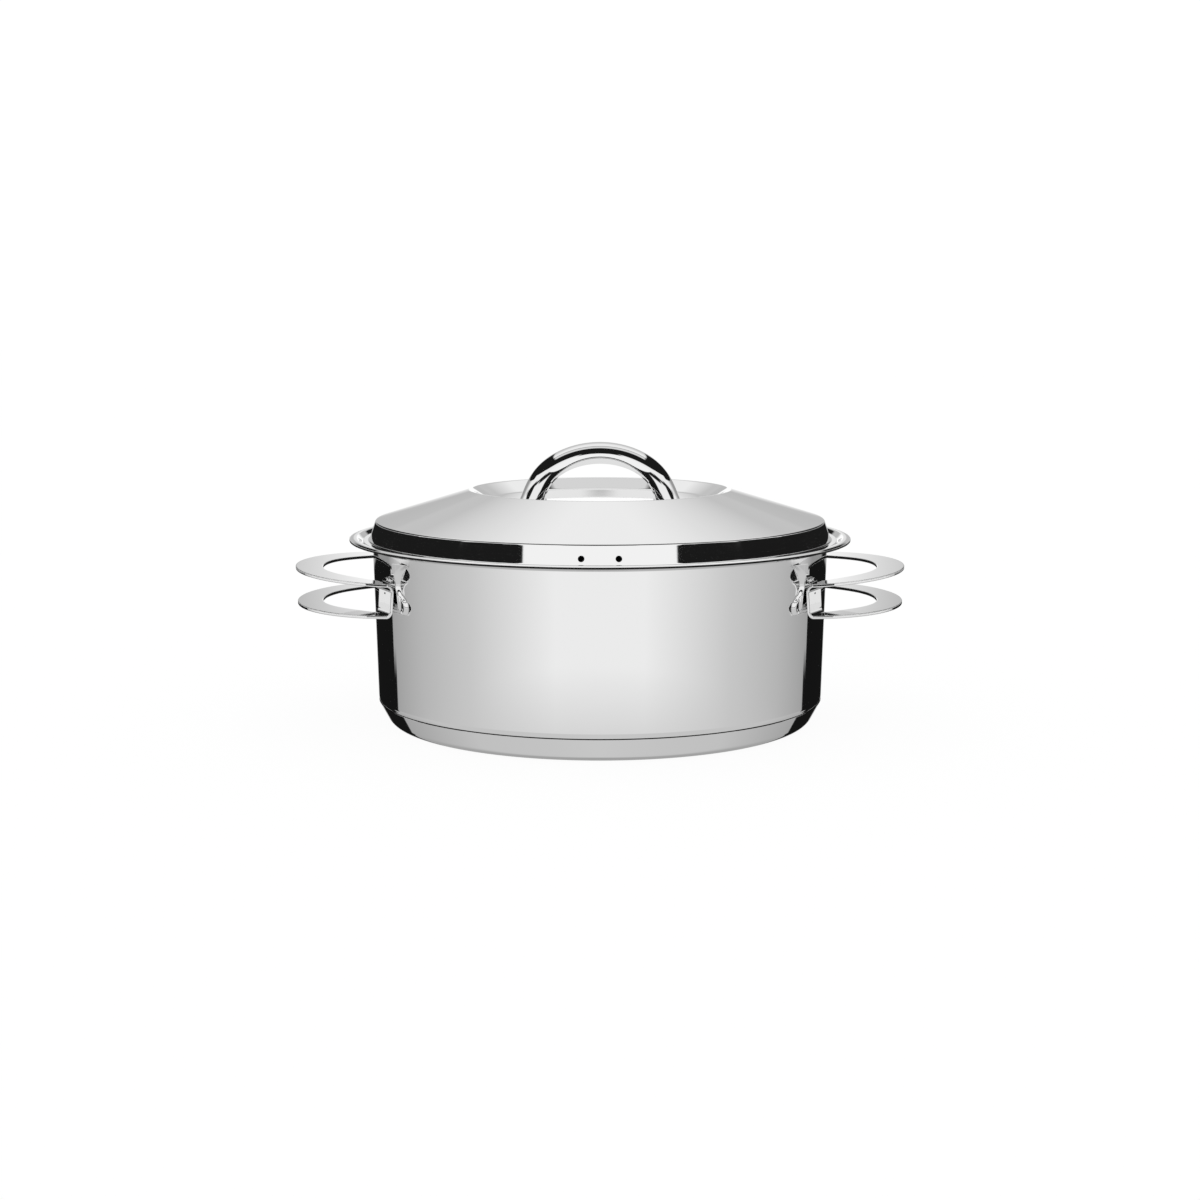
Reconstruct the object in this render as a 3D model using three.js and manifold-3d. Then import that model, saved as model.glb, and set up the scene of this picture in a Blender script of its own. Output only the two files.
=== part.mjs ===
// Casserole pot of pressed stainless sheet: a bowl with a capsule base, two U-bent loop handles
// on stamped brackets, and a lid with an arched grip in its centre dish.
// Millimetres, +Z up. The origin is the middle of the base, the front is -Y, the handles are on X.
import * as THREE from 'three';
import { mergeVertices } from 'three/addons/utils/BufferGeometryUtils.js';
import Module from 'manifold-3d';

const wasm = await Module();
wasm.setup();

// Gaps and fineness
const fit = 0.3; // gap between pieces that are welded or seated on each other
const roundFacets = 64; // facets round the pot's axis
const bendStep = 24; // degrees of a sheet bend per facet

// Base capsule
const capSheet = 0.8;
const capHeight = 12.5;
const capLean = 28; // degrees from vertical
const capBend = 6.7;
const capInset = 6.6; // from the wall, at floor level, to the corner of the cap
const coreThickness = 7.6;
const coreChamfer = 3;
const coreInset = 1.2; // from the corner of the cap to the edge of the core

// Pot body
const mouthDiameter = 240; // inside, where the wall meets the lid seat
const seatHeight = 96.5; // top face of the lid seat above the table
const wallSheet = 0.9;
const wallDraft = 1.5; // degrees
const floorBend = 5.1;
const flareBend = 4.5;
const seatWidth = 6.4;
const stepRun = 2.4;
const stepRise = 2.55;
const stepBend = 1.2;
const lipWidth = 4.2;
const lipTurn = 1.8; // outer part of the lip, turned down
const lipTurnDrop = 0.65;
const lipBend = 2;

// Lid
const lidSheet = 0.8;
const flangeClearance = 0.6; // between the flange and the step that centres it
const flangeWidth = 3.1;
const flangeBend = 0.9;
const skirtHeight = 10;
const skirtLean = 18.8; // degrees from vertical
const shoulderBend = 3.5;
const lidSlope = 17.8; // degrees
const dishDiameter = 137.4; // at the ridge round the dish
const dishDepth = 6;
const dishWallRun = 9.5;
const dishBend = 3;
const ventDiameter = 3.2;
const ventSpacing = 18;
const ventRise = 3.5; // above the flange
const ventFacets = 10;

// Lid grip
const gripSpan = 80.6; // over the legs
const gripFlare = 2.7; // how far each foot spreads past its leg
const gripHeight = 30.6; // over the floor of the dish
const gripCrownThickness = 10.8;
const gripFootThickness = 11.8;
const gripDepth = 24;
const gripSoffitDepth = 20.5; // flat underside, between the chamfers
const gripCrease = 0.31; // widest point, as a share of the bar from its underside
const gripStations = 24;
const crownFacets = 8;

// Side handles
const handleSheet = 1.6;
const upperLoop = { level: 1, reach: 162.2, tipBand: 14.5, splay: 2.6 }; // reach is from the pot's axis,
const lowerLoop = { level: -1, reach: 161.4, tipBand: 13.5, splay: 0.1 }; // splay is in degrees outwards
const handleRootBand = 15.5; // width of a web
const handleHeight = 17.8; // over both loops, at the webs
const handleDrop = 24; // from the lid seat down to the middle of the webs
const handleBend = 3.2; // at the middle of the sheet
const webAzimuth = 28.5; // degrees from the X axis
const outerFullness = { tip: 0.55, flank: 0.52, drawIn: 0 }; // how full each edge of a loop is,
const innerFullness = { tip: 0.5, flank: 0.6, drawIn: 0.27 }; // as shares of its reach and half width
const loopSteps = 10;
const handleBendSteps = 4;

// Brackets
const bracketSheet = 1.2;
const bracketJoggle = 0.6; // how far the pad stands off behind a web
const bracketDrop = 4.9; // from the lid seat down to the top of a bracket
const padFront = 3.1; // pad past the outer edge of the web
const padBack = 1.2; // pad past the inner edge of the web
const joggleWidth = 1; // where plate and pad are one
const tabInner = 7.8; // width of the tab's foot, inwards from the front of the pad
const tabOuter = 9.4; // flare of the tab's top, outwards from the front of the pad
const footRadius = 4.3;
const footReach = 2.9; // from the front of the pad to the middle of the foot
const footRise = 3; // middle of the foot over the lower edge of the pad
const outlineSteps = 4;
const footTurn = 50; // degrees past the side of the foot where it runs into the waist

// Finishes
const polishedSteel = { color: 0xd9dadb, roughness: 0.08, metalness: 1 };
const satinSteel = { color: 0xc4c6c8, roughness: 0.22, metalness: 1 };
const bareAluminium = { color: 0xbfc2c5, roughness: 0.4, metalness: 1 };

const radians = THREE.MathUtils.degToRad;
const slopeOf = (degrees) => Math.tan(radians(degrees));
const point = (x, y) => new THREE.Vector2(x, y);

// Sheet profiles

/** Corners moved sideways, to the left of travel, as the other face of a sheet. */
function offsetCorners(corners, distance) {
  const runs = corners.slice(1).map((corner, i) => corner.clone().sub(corners[i]).normalize());
  const normals = runs.map((run) => point(-run.y, run.x));
  return corners.map((corner, i) => {
    const before = normals[Math.max(i - 1, 0)];
    const after = normals[Math.min(i, normals.length - 1)];
    const mitre = before.clone().add(after).divideScalar(1 + before.dot(after));
    return corner.clone().addScaledVector(mitre, distance);
  });
}

/** Signed turn at each inner corner, in radians. */
function turnsOf(corners) {
  return corners.slice(1, -1).map((corner, i) => {
    const arriving = corner.clone().sub(corners[i]);
    const leaving = corners[i + 2].clone().sub(corner);
    return Math.atan2(arriving.cross(leaving), arriving.dot(leaving));
  });
}

/** One face of a bent sheet: straight runs joined by round bends. */
function bentFace(corners, bends) {
  const points = [corners[0].clone()];
  turnsOf(corners).forEach((turn, i) => {
    const corner = corners[i + 1];
    const arriving = corner.clone().sub(corners[i]).normalize();
    const start = corner.clone().addScaledVector(arriving, -bends[i] * Math.tan(Math.abs(turn) / 2));
    const toCentre = point(-arriving.y, arriving.x).multiplyScalar(Math.sign(turn) * bends[i]);
    const centre = start.clone().add(toCentre);
    const steps = Math.max(2, Math.ceil(Math.abs(turn) / radians(bendStep)));
    for (let step = 0; step <= steps; step += 1) {
      points.push(start.clone().rotateAround(centre, (turn * step) / steps));
    }
  });
  points.push(corners[corners.length - 1].clone());
  return points;
}

/** Closed profile of a bent sheet whose thickness lies to the left of travel. */
function sheetProfile(corners, bends, thickness) {
  const turns = turnsOf(corners);
  const backBends = bends.map((bend, i) => bend - Math.sign(turns[i]) * thickness);
  const face = bentFace(corners, bends);
  const back = bentFace(offsetCorners(corners, thickness), backBends);
  return [...face, ...back.reverse()];
}

// Solids

/** Closed geometry with shared vertices and its faces turned outwards. */
function closedBody(source) {
  const bare = source.clone();
  bare.deleteAttribute('normal');
  bare.deleteAttribute('uv');
  const merged = mergeVertices(bare, 1e-4);
  const place = merged.getAttribute('position');
  const corners = [0, 1, 2].map(() => new THREE.Vector3());
  const kept = [];
  let volume = 0;
  for (let i = 0; i < merged.index.count; i += 3) {
    const triangle = [0, 1, 2].map((k) => merged.index.getX(i + k));
    if (new Set(triangle).size === 3) {
      kept.push(triangle);
      corners.forEach((corner, k) => corner.fromBufferAttribute(place, triangle[k]));
      volume += corners[0].dot(corners[1].clone().cross(corners[2]));
    }
  }
  const faces = volume < 0 ? kept.map(([a, b, c]) => [a, c, b]) : kept;
  merged.setIndex(faces.flat());
  return merged;
}

/** Profile in (radius, height) turned round the pot's axis. */
function turned(profile) {
  return closedBody(new THREE.LatheGeometry(profile, roundFacets).rotateX(Math.PI / 2));
}

/** Rings of points joined into a skin, closed on itself or capped at both ends. */
function lofted(rings, closesOnItself) {
  const count = rings[0].length;
  const at = (ring, i) => (ring % rings.length) * count + (i % count);
  const faces = [];
  const spans = closesOnItself ? rings.length : rings.length - 1;
  for (let ring = 0; ring < spans; ring += 1) {
    for (let i = 0; i < count; i += 1) {
      faces.push(at(ring, i), at(ring + 1, i), at(ring + 1, i + 1));
      faces.push(at(ring, i), at(ring + 1, i + 1), at(ring, i + 1));
    }
  }
  for (let i = 1; !closesOnItself && i < count - 1; i += 1) {
    faces.push(at(0, 0), at(0, i), at(0, i + 1));
    faces.push(at(spans, 0), at(spans, i + 1), at(spans, i));
  }
  const geometry = new THREE.BufferGeometry().setFromPoints(rings.flat());
  geometry.setIndex(faces);
  return closedBody(geometry);
}

/** Solid for joining and cutting. */
function asSolid(geometry) {
  const body = closedBody(geometry);
  return new wasm.Manifold(new wasm.Mesh({
    numProp: 3,
    vertProperties: new Float32Array(body.getAttribute('position').array),
    triVerts: new Uint32Array(body.index.array),
  }));
}

/** Geometry of a joined or cut solid. */
function asGeometry(solid) {
  const mesh = solid.getMesh();
  const geometry = new THREE.BufferGeometry();
  geometry.setAttribute('position', new THREE.BufferAttribute(new Float32Array(mesh.vertProperties), 3));
  geometry.setIndex([...mesh.triVerts]);
  return geometry;
}

// Heights and radii that the pieces share
const coreBottom = capSheet + fit;
const floorBottom = coreBottom + coreThickness + fit;
const floorTop = floorBottom + wallSheet;
const mouthRadius = mouthDiameter / 2;
const wallInside = (z) => mouthRadius - (seatHeight - z) * slopeOf(wallDraft);
const wallOutside = (z) => wallInside(z) + wallSheet / Math.cos(radians(wallDraft));
const capCorner = wallOutside(floorBottom) - capInset;
const stepRadius = mouthRadius + seatWidth;
const lipRadius = stepRadius + stepRun + lipWidth;
const lipTop = seatHeight + stepRise;
const handleMiddle = seatHeight - handleDrop;
const bracketTop = seatHeight - bracketDrop;

const flangeBottom = seatHeight + fit;
const flangeTop = flangeBottom + lidSheet;
const flangeRadius = stepRadius - flangeClearance;
const skirtRadius = flangeRadius - flangeWidth;
const shoulderHeight = flangeTop + skirtHeight;
const shoulderRadius = skirtRadius - skirtHeight * slopeOf(skirtLean);
const ridgeRadius = dishDiameter / 2;
const ridgeHeight = shoulderHeight + (shoulderRadius - ridgeRadius) * slopeOf(lidSlope);
const dishFloor = ridgeHeight - dishDepth;

// Pot body and base

/** Bowl with its drafted wall, flared rim, stepped lid seat and lip, pressed from one sheet. */
function potBody() {
  const inside = [
    point(0, floorTop),
    point(wallInside(floorTop), floorTop),
    point(mouthRadius, seatHeight),
    point(stepRadius, seatHeight),
    point(stepRadius + stepRun, lipTop),
    point(lipRadius - lipTurn, lipTop),
    point(lipRadius, lipTop - lipTurnDrop),
  ];
  const bends = [floorBend, flareBend, stepBend, stepBend, lipBend];
  return turned(sheetProfile(inside, bends, -wallSheet));
}

/** Heat-spreading disc, chamfered to clear the bend of the cap. */
function baseCore() {
  const radius = capCorner - coreInset;
  return turned([
    point(0, coreBottom),
    point(radius - coreChamfer, coreBottom),
    point(radius, coreBottom + coreChamfer),
    point(radius, coreBottom + coreThickness),
    point(0, coreBottom + coreThickness),
  ]);
}

/** Tray that wraps the disc, with its rim pressed to the bend of the bowl. */
function baseCap() {
  const outside = [
    point(0, 0),
    point(capCorner, 0),
    point(capCorner + capHeight * slopeOf(capLean), capHeight),
  ];
  const bowl = [point(0, floorTop), point(wallInside(floorTop), floorTop), point(mouthRadius, seatHeight)];
  const clearance = wallSheet + fit;
  const bowlSpace = bentFace(offsetCorners(bowl, -clearance), [floorBend + clearance]);
  const tray = asSolid(turned(sheetProfile(outside, [capBend], capSheet)));
  return asGeometry(tray.subtract(asSolid(turned([...bowlSpace, point(0, seatHeight)]))));
}

// Lid

/** Drill for one steam vent, square to the skirt. */
function ventDrill(x) {
  const height = flangeTop + ventRise;
  const radius = skirtRadius - ventRise * slopeOf(skirtLean);
  const drill = new THREE.CylinderGeometry(ventDiameter / 2, ventDiameter / 2, skirtHeight, ventFacets);
  drill.rotateX(-radians(skirtLean));
  drill.rotateZ(Math.asin(x / radius));
  drill.translate(x, -Math.sqrt(radius ** 2 - x ** 2), height);
  return asSolid(drill);
}

/** Pressed lid: centre dish, conical top, skirt with two vents and the flange that sits on the seat. */
function lidShell() {
  const top = [
    point(0, dishFloor),
    point(ridgeRadius - dishWallRun, dishFloor),
    point(ridgeRadius, ridgeHeight),
    point(shoulderRadius, shoulderHeight),
    point(skirtRadius, flangeTop),
    point(flangeRadius, flangeTop),
  ];
  const bends = [dishBend, dishBend, shoulderBend, flangeBend];
  const pressed = asSolid(turned(sheetProfile(top, bends, -lidSheet)));
  const vents = [-ventSpacing / 2, ventSpacing / 2].map(ventDrill);
  return asGeometry(vents.reduce((shell, vent) => shell.subtract(vent), pressed));
}

/** Arched bar with a crowned top and a chamfered underside, standing in the dish. */
function lidGrip() {
  const foot = dishFloor + fit;
  const outer = point(gripSpan / 2, gripHeight - fit);
  const inner = point(gripSpan / 2 - gripFootThickness, gripHeight - fit - gripCrownThickness);
  const section = [point(gripSoffitDepth / 2, 0)];
  for (let facet = 0; facet <= crownFacets; facet += 1) {
    const angle = (Math.PI * facet) / crownFacets;
    const share = gripCrease + (1 - gripCrease) * Math.sin(angle);
    section.push(point((gripDepth / 2) * Math.cos(angle), share));
  }
  section.push(point(-gripSoffitDepth / 2, 0));
  const rings = [];
  for (let station = 0; station <= gripStations; station += 1) {
    const angle = (Math.PI * station) / gripStations;
    const spread = gripFlare * (1 - Math.sin(angle)) ** 6;
    rings.push(section.map(({ x: depth, y: share }) => {
      const arch = inner.clone().lerp(outer, share);
      const reach = (arch.x + share * spread) * Math.cos(angle);
      return new THREE.Vector3(-reach, depth, foot + arch.y * Math.sin(angle));
    }));
  }
  return lofted(rings, false);
}

// Side handles, made on the -X side

const webDirection = (side) => new THREE.Vector3(
  -Math.cos(radians(webAzimuth)),
  side * Math.sin(radians(webAzimuth)),
  0,
);
const upwards = new THREE.Vector3(0, 0, 1);
const webDistance = wallOutside(handleMiddle) + bracketJoggle + bracketSheet + 2 * fit + handleSheet / 2;

/** Where an edge of a loop ends, just before it bends into the web on one side. */
function loopEnd(side, outerEdge) {
  const radial = webDirection(side);
  const along = new THREE.Vector3(-radial.y, radial.x, 0).multiplyScalar(-side);
  const offset = (outerEdge ? 0.5 : -0.5) * handleRootBand;
  return radial.multiplyScalar(webDistance + handleBend).addScaledVector(along, offset);
}

/** Plan curve of one edge of a loop, from its tip to a web. */
function loopEdge(loop, side, outerEdge) {
  const end = loopEnd(side, outerEdge);
  const tip = loop.reach - (outerEdge ? 0 : loop.tipBand);
  const reach = tip + end.x;
  const across = Math.abs(end.y);
  const fullness = outerEdge ? outerFullness : innerFullness;
  return new THREE.CubicBezierCurve3(
    new THREE.Vector3(-tip, 0, 0),
    new THREE.Vector3(-tip, side * across * fullness.tip, 0),
    new THREE.Vector3(end.x - reach * fullness.flank, side * across * (1 - fullness.drawIn), 0),
    end,
  );
}

/** Oval ring of sheet bent into a U: two splayed loops joined by a web at the front and the back. */
function loopHandle() {
  const halfRise = (handleHeight - handleSheet) / 2;
  const hinge = webDirection(1).x * (webDistance + handleBend);
  const lift = (loop, x) => loop.level * (halfRise + (hinge - x) * slopeOf(loop.splay));
  const rings = [];
  const addRing = (inner, outer, normal) => {
    const half = normal.clone().multiplyScalar(handleSheet / 2);
    const corners = [inner.clone().sub(half), outer.clone().sub(half)];
    rings.push([...corners, outer.clone().add(half), inner.clone().add(half)]);
  };
  const addLoop = (loop, from) => {
    for (let step = -loopSteps; step <= loopSteps; step += 1) {
      const side = step < 0 ? from : -from;
      const share = Math.abs(step) / loopSteps;
      const [inner, outer] = [false, true].map((edge) => {
        const place = loopEdge(loop, side, edge).getPoint(share);
        return place.setZ(handleMiddle + lift(loop, place.x));
      });
      addRing(inner, outer, upwards.clone().multiplyScalar(loop.level));
    }
  };
  const addBend = (side, loop, leaving) => {
    for (let step = 1; step <= handleBendSteps; step += 1) {
      const share = leaving ? step / handleBendSteps : 1 - (step - 1) / handleBendSteps;
      const angle = (share * Math.PI) / 2;
      const radial = webDirection(side);
      const [inner, outer] = [false, true].map((edge) => {
        const place = loopEnd(side, edge);
        place.z = handleMiddle + lift(loop, place.x) - loop.level * handleBend * (1 - Math.cos(angle));
        return place.addScaledVector(radial, -handleBend * Math.sin(angle));
      });
      const normal = upwards.clone().multiplyScalar(loop.level * Math.cos(angle));
      addRing(inner, outer, normal.addScaledVector(radial, -Math.sin(angle)));
    }
  };
  addLoop(upperLoop, -1);
  addBend(1, upperLoop, true);
  addBend(1, lowerLoop, false);
  addLoop(lowerLoop, 1);
  addBend(-1, lowerLoop, true);
  addBend(-1, upperLoop, false);
  return lofted(rings, true);
}

// Brackets

/** Band of sheet that follows the outside of the wall, lifted off it by a distance. */
function wallBand(lifted) {
  const low = handleMiddle - handleHeight;
  const inner = (z) => wallOutside(z) + fit + lifted;
  const corners = [point(inner(low), low), point(inner(bracketTop), bracketTop)];
  const outer = corners.map((corner) => point(corner.x + bracketSheet, corner.y)).reverse();
  return asSolid(turned([...corners, ...outer, corners[0]]));
}

/** Outline in (along the wall, height), pushed through the wall at the web of one side. */
function outlineBlock(outline, side) {
  const depth = mouthRadius / 2;
  const block = new THREE.ExtrudeGeometry(outline, { depth, bevelEnabled: false });
  const radial = webDirection(side);
  const along = new THREE.Vector3().crossVectors(upwards, radial);
  block.applyMatrix4(new THREE.Matrix4().makeBasis(along, upwards, radial));
  const start = radial.multiplyScalar(webDistance - depth / 2);
  block.translate(start.x, start.y, start.z);
  return asSolid(block);
}

/** Stamped plate: a pad joggled off the wall behind the web, a tab under the rim and a round foot. */
function bracket(side) {
  const low = handleMiddle - handleHeight / 2 + handleBend;
  const high = handleMiddle + handleHeight / 2 - handleSheet / 2;
  const front = handleRootBand / 2 + padFront;
  const back = -handleRootBand / 2 - padBack;
  const facing = (shape) => new THREE.Shape(
    shape.getPoints(outlineSteps).map(({ x, y }) => point(-side * x, y)),
  );

  const pad = new THREE.Shape();
  pad.moveTo(back, low);
  pad.lineTo(front, low);
  pad.lineTo(front, high);
  pad.lineTo(back, high);

  const hollow = new THREE.Shape();
  hollow.moveTo(back - joggleWidth, low - joggleWidth);
  hollow.lineTo(front - joggleWidth, low - joggleWidth);
  hollow.lineTo(front - joggleWidth, high - joggleWidth);
  hollow.lineTo(back - joggleWidth, high - joggleWidth);

  const footX = front + footReach;
  const footZ = low + footRise;
  const plate = new THREE.Shape();
  plate.moveTo(front - joggleWidth, footZ - footRadius);
  plate.lineTo(footX, footZ - footRadius);
  plate.absarc(footX, footZ, footRadius, -Math.PI / 2, radians(footTurn), false);
  plate.quadraticCurveTo(front, footZ + footRadius + footRise, front, high);
  plate.quadraticCurveTo(front, bracketTop - footRadius, front + tabOuter, bracketTop);
  plate.lineTo(front - tabInner, bracketTop);
  plate.lineTo(front - tabInner, high - joggleWidth);
  plate.lineTo(front - joggleWidth, high - joggleWidth);

  const raised = wallBand(bracketJoggle).intersect(outlineBlock(facing(pad), side));
  const flat = wallBand(0).intersect(outlineBlock(facing(plate), side));
  return asGeometry(raised.add(flat.subtract(outlineBlock(facing(hollow), side))));
}

// Assembly

function piece(name, geometry, finish) {
  const flat = geometry.toNonIndexed();
  flat.computeVertexNormals();
  const mesh = new THREE.Mesh(flat, new THREE.MeshStandardMaterial(finish));
  mesh.name = name;
  return mesh;
}

const pot = new THREE.Group();
pot.add(
  piece('pot_body', potBody(), polishedSteel),
  piece('base_core', baseCore(), bareAluminium),
  piece('base_cap', baseCap(), polishedSteel),
);

const handleForm = loopHandle();
const bracketForms = { front: bracket(-1), back: bracket(1) };
const leftSide = new THREE.Group();
leftSide.add(
  piece('left_handle', handleForm, satinSteel),
  piece('left_front_bracket', bracketForms.front, polishedSteel),
  piece('left_back_bracket', bracketForms.back, polishedSteel),
);
const rightSide = new THREE.Group();
rightSide.rotation.z = Math.PI;
rightSide.add(
  piece('right_handle', handleForm, satinSteel),
  piece('right_front_bracket', bracketForms.back, polishedSteel),
  piece('right_back_bracket', bracketForms.front, polishedSteel),
);

const lid = new THREE.Group();
lid.add(
  piece('lid_shell', lidShell(), polishedSteel),
  piece('lid_grip', lidGrip(), polishedSteel),
);

const casserole = new THREE.Group();
casserole.name = 'casserole_pot';
casserole.add(pot, leftSide, rightSide, lid);

export default casserole;
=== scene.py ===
"""Casserole pot of pressed stainless sheet, with its lid on, on a white table in a small studio.

Sizes are in millimetres, as on the part's own drawing, and go to metres where a mesh is made.
"""

import logging
import math
from collections.abc import Sequence
from dataclasses import dataclass
from enum import Enum

import bmesh
import bpy
from mathutils import Matrix, Vector
from mathutils.geometry import interpolate_bezier


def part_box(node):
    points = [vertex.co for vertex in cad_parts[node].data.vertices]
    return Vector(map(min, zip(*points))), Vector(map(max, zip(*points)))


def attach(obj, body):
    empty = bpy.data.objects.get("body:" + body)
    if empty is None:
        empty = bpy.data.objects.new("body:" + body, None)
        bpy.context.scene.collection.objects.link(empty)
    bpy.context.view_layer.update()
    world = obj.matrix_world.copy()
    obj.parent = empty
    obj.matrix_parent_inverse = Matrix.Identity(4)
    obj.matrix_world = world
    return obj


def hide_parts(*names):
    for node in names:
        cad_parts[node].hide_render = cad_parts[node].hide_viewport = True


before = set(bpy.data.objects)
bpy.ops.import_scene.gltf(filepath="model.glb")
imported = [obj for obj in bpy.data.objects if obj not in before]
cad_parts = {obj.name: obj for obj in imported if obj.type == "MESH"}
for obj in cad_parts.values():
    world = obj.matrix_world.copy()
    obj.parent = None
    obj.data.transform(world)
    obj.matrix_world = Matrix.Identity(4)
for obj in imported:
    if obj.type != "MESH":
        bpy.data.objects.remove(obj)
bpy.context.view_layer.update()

log = logging.getLogger("casserole")

MM = 0.001  # one millimetre in metres
FIT = 0.3  # gap between pieces that are welded or seated on each other
ROUND_FACETS = 256  # round the pot's axis
BEND_STEP = math.radians(5)  # of a sheet bend per facet
RUN_STEP = 6.0  # longest facet of a straight run
HOLD = 0.4  # row of points beside a bend that keeps the flat next to it flat in a mirror
SHORT_RUN = 4 * HOLD  # a shorter run has no points between its ends
EDGE_RADIUS = 0.08  # of the two corners on a cut edge
EDGE_STEPS = 4  # facets round such a corner
EDGE_HOLD = 1.5 * EDGE_RADIUS  # row of points on the cut, beside such a corner
SHARP = math.radians(40)  # an edge that turns further stays sharp
DIMPLE_FALL = 2.0  # how fast the dimple of a spot weld dies out


# Sheet sections


def smoothstep(share: float) -> float:
    """Smooth step from 0 to 1 as a share goes from 0 to 1."""
    held = min(max(share, 0.0), 1.0)
    return held * held * (3 - 2 * held)


def straight(start: Vector, end: Vector) -> list[Vector]:
    """Points along a straight run of sheet, after its start, with one close to each end.

    Args:
        start: Where the run starts.
        end: Where it ends.

    Returns:
        The points in order, the end among them.
    """
    length = (end - start).length
    if length < SHORT_RUN:
        return [end]
    middle = length - 2 * HOLD
    count = math.ceil(middle / RUN_STEP)
    marks = [HOLD + middle * index / count for index in range(count + 1)]
    return [start.lerp(end, mark / length) for mark in marks] + [end]


def turns_of(corners: Sequence[Vector]) -> list[float]:
    """Turn at each inner corner of a line, in radians, positive to the left."""
    runs = [end - start for start, end in zip(corners, corners[1:])]
    return [math.atan2(run.cross(after), run.dot(after)) for run, after in zip(runs, runs[1:])]


def bent_line(corners: Sequence[Vector], bends: Sequence[float]) -> list[Vector]:
    """One face of a bent sheet: straight runs joined by round bends.

    Args:
        corners: Where the runs would meet, in (radius, height).
        bends: Bend radius at each inner corner.

    Returns:
        Points along the face.
    """
    points = [corners[0]]
    for index, (turn, bend) in enumerate(zip(turns_of(corners), bends)):
        corner = corners[index + 1]
        arriving = (corner - corners[index]).normalized()
        start = corner - arriving * bend * math.tan(abs(turn) / 2)
        centre = start + Vector((-arriving.y, arriving.x)) * math.copysign(bend, turn)
        points.extend(straight(points[-1], start))
        steps = math.ceil(abs(turn) / BEND_STEP)
        for step in range(1, steps + 1):
            points.append(centre + Matrix.Rotation(turn * step / steps, 2) @ (start - centre))
    points.extend(straight(points[-1], corners[-1]))
    return points


def offset_line(corners: Sequence[Vector], distance: float) -> list[Vector]:
    """Corners of the other face of a sheet.

    Args:
        corners: Corners of the first face.
        distance: Thickness of the sheet, positive to the left of travel.

    Returns:
        The moved corners.
    """
    runs = [(end - start).normalized() for start, end in zip(corners, corners[1:])]
    sides = [Vector((-run.y, run.x)) for run in runs]
    moved = []
    for index, corner in enumerate(corners):
        before = sides[max(index - 1, 0)]
        after = sides[min(index, len(sides) - 1)]
        moved.append(corner + (before + after) * (distance / (1 + before.dot(after))))
    return moved


def sheet_section(
    corners: Sequence[Vector], bends: Sequence[float], thickness: float
) -> list[Vector]:
    """Outline of a bent sheet that starts on the axis and ends in a cut edge with soft corners.

    Args:
        corners: Corners of the first face, the last one at the tip of the edge.
        bends: Bend radius of that face at each inner corner.
        thickness: Of the sheet, positive to the left of travel.

    Returns:
        The outline from the axis, round the edge and back to the axis.
    """
    last_run = (corners[-1] - corners[-2]).normalized()
    face_corners = [*corners[:-1], corners[-1] - last_run * EDGE_RADIUS]
    back_bends = [
        bend - math.copysign(thickness, turn * thickness)
        for bend, turn in zip(bends, turns_of(face_corners))
    ]
    face = bent_line(face_corners, bends)
    back = bent_line(offset_line(face_corners, thickness), back_bends)
    through = (back[-1] - face[-1]).normalized()
    angles = [math.pi / 2 * step / EDGE_STEPS for step in range(1, EDGE_STEPS + 1)]
    soft = [Vector((math.sin(angle), 1 - math.cos(angle))) * EDGE_RADIUS for angle in angles]
    soft.append(Vector((EDGE_RADIUS, EDGE_HOLD)))
    near = [face[-1] + last_run * out + through * deep for out, deep in soft]
    far = [back[-1] + last_run * out - through * deep for out, deep in reversed(soft)]
    return [*face, *near, *far, *reversed(back)]


# Meshes


def mesh_piece(
    name: str, points: Sequence[Vector], faces: Sequence[Sequence[int]]
) -> bpy.types.Object:
    """Smoothly shaded mesh with its faces turned outwards.

    Args:
        name: Of the piece.
        points: Its vertices in millimetres.
        faces: Its faces, as numbers of vertices.

    Returns:
        The new object, in the scene.
    """
    mesh = bpy.data.meshes.new(name)
    mesh.from_pydata([point * MM for point in points], [], faces)
    shell = bmesh.new()
    shell.from_mesh(mesh)
    bmesh.ops.recalc_face_normals(shell, faces=shell.faces)
    shell.to_mesh(mesh)
    shell.free()
    mesh.shade_smooth()
    mesh.set_sharp_from_angle(angle=SHARP)
    piece = bpy.data.objects.new(name, mesh)
    bpy.context.scene.collection.objects.link(piece)
    return piece


def turned(name: str, section: Sequence[Vector]) -> bpy.types.Object:
    """Section turned round the pot's axis.

    Args:
        name: Of the piece.
        section: Points in (radius, height), from the axis and back to it.

    Returns:
        The new object.
    """
    outline = section[1:-1]
    count = len(outline)
    points = [Vector((0, 0, section[0].y)), Vector((0, 0, section[-1].y))]
    on_axis = len(points)
    faces = []
    for facet in range(ROUND_FACETS):
        angle = 2 * math.pi * facet / ROUND_FACETS
        across = Vector((math.cos(angle), math.sin(angle), 0))
        points.extend(across * point.x + Vector((0, 0, point.y)) for point in outline)
        here = on_axis + facet * count
        there = on_axis + (facet + 1) % ROUND_FACETS * count
        faces.append((0, here, there))
        faces.append((1, there + count - 1, here + count - 1))
        for index in range(count - 1):
            faces.append((here + index, here + index + 1, there + index + 1, there + index))
    return mesh_piece(name, points, faces)


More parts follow.
